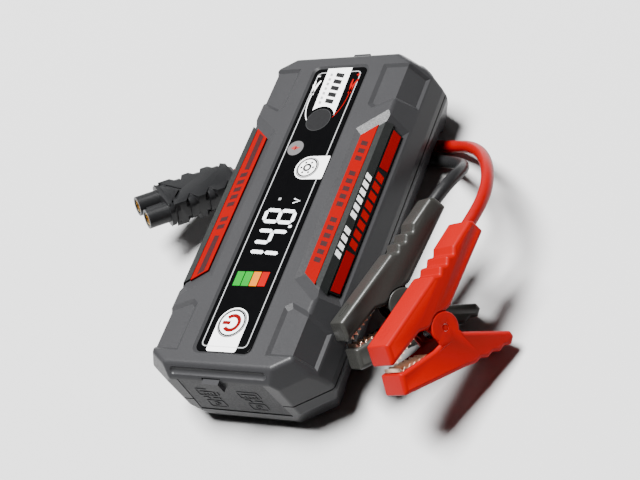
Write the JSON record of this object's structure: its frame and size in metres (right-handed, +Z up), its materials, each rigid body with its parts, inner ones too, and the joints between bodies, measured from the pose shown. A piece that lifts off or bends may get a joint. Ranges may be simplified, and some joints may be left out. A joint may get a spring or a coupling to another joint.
{
  "type": "jump starter pack",
  "caption": "Flat car jump starter pack with faceted housing, round buttons, charge display and covered sockets, with a plug, two leads and spring clamps.",
  "frame": {"origin": "on the floor under the middle of the pack, which lies on its back", "axes": "+Z up out of the display, +Y along the pack towards the jump socket, +X to the pack's right, where the clamps lie"},
  "size_m": [0.2293, 0.1958, 0.054],
  "materials": {
    "shell": "fine-grained dark grey housing",
    "rubber_black": "dull black rubber",
    "screw_steel": "zinc-plated screw heads",
    "window": "gloss black window with printed symbols",
    "button_rubber": "satin black key top",
    "boost_key": "satin grey key top",
    "circuit_board": "green board with solder mask",
    "switch_steel": "stamped switch caps",
    "digits": "dark filter over red digits",
    "led_clear": "clear LED bodies",
    "spacer": "natural nylon",
    "cell_wrap": "silver-grey pouch cells",
    "foam": "black foam pad",
    "copper": "bare copper",
    "socket_blue": "moulded socket block",
    "pin_brass": "turned pins",
    "bezel": "satin dark bezel",
    "port_steel": "folded port shells",
    "port_insert": "white port tongues",
    "lens": "clear lamp lens",
    "cover_rubber": "soft dark cover",
    "pin_steel": "hinge wire",
    "red_trim": "satin red inlay",
    "bar_trim": "dark grey inlay",
    "side_trim": "black side inlay",
    "plug_grey": "dark grey moulded plug",
    "red_jacket": "red lead jacket",
    "black_jacket": "black lead jacket",
    "clamp_red": "red moulded clamp",
    "clamp_black": "black moulded clamp",
    "spring_steel": "dark oiled spring wire"
  },
  "bodies": {
    "pack": {"front_shell": "shell", "back_shell": "shell", "case_seal": "rubber_black", "rubber_feet": "rubber_black", "case_screws": "screw_steel", "display_window": "window", "display_board": "circuit_board", "tactile_switches": "switch_steel", "digit_module": "digits", "charge_leds": "led_clear", "main_board": "circuit_board", "board_spacers": "spacer", "power_module": "bezel", "battery_cells": "cell_wrap", "cell_pads": "foam", "positive_busbar": "copper", "negative_busbar": "copper", "jump_socket": "socket_blue", "socket_pins": "pin_brass", "socket_bezel": "bezel", "port_bezel": "bezel", "usb_a_shells": "port_steel", "port_tongues": "port_insert", "usb_c_shell": "port_steel", "dc_socket": "bezel", "dc_pin": "pin_brass", "port_board": "circuit_board", "lamp_lens": "lens", "lamp_led": "led_clear", "port_cover_pin": "pin_steel", "socket_cover_pin": "pin_steel", "right_strip": "red_trim", "right_ridge_bar": "bar_trim", "right_side_label": "side_trim", "right_side_marks": "red_trim", "left_strip": "red_trim", "left_ridge_bar": "bar_trim", "left_side_label": "side_trim", "left_side_marks": "red_trim", "plug_shell": "plug_grey", "plug_contacts": "pin_brass", "red_lead": "red_jacket", "black_lead": "black_jacket", "red_upper_arm": "clamp_red", "red_upper_jaw": "copper", "red_pivot_pin": "pin_steel", "red_spring": "spring_steel", "black_upper_arm": "clamp_black", "black_upper_jaw": "copper", "black_pivot_pin": "pin_steel", "black_spring": "spring_steel"},
    "power_button_key": {"power_button": "button_rubber"},
    "light_button_key": {"light_button": "button_rubber"},
    "boost_button_key": {"boost_button": "boost_key"},
    "port_flap": {"port_cover": "cover_rubber"},
    "socket_flap": {"socket_cover": "cover_rubber"},
    "red_lower_half": {"red_lower_arm": "clamp_red", "red_lower_jaw": "copper"},
    "black_lower_half": {"black_lower_arm": "clamp_black", "black_lower_jaw": "copper"}
  },
  "joints": [
    {"name": "power_press", "type": "slide", "parent": "pack", "child": "power_button_key", "axis": [0, 0, -1], "range_m": [0, 0.0005], "stiffness_N_per_m": 400},
    {"name": "light_press", "type": "slide", "parent": "pack", "child": "light_button_key", "axis": [0, 0, -1], "range_m": [0, 0.0005], "stiffness_N_per_m": 400},
    {"name": "boost_press", "type": "slide", "parent": "pack", "child": "boost_button_key", "axis": [0, 0, -1], "range_m": [0, 0.0005], "stiffness_N_per_m": 400},
    {"name": "port_cover_hinge", "type": "hinge", "parent": "pack", "child": "port_flap", "pos_m": [0, -0.09505, 0.0135], "axis": [1, 0, 0], "range_deg": [0, 95]},
    {"name": "socket_cover_hinge", "type": "hinge", "parent": "pack", "child": "socket_flap", "pos_m": [0, 0.09505, 0.0135], "axis": [-1, 0, 0], "range_deg": [0, 95]},
    {"name": "red_clamp_hinge", "type": "hinge", "parent": "pack", "child": "red_lower_half", "pos_m": [0.0954, -0.0585, 0.033], "axis": [0.8823, -0.1715, 0.4384], "range_deg": [0, 28], "stiffness_Nm_per_rad": 0.5, "springref_deg": -28.65},
    {"name": "black_clamp_hinge", "type": "hinge", "parent": "pack", "child": "black_lower_half", "pos_m": [0.0706, -0.0444, 0.0297], "axis": [0.754, -0.3201, 0.5736], "range_deg": [0, 28], "stiffness_Nm_per_rad": 0.5, "springref_deg": -28.65}
  ]
}
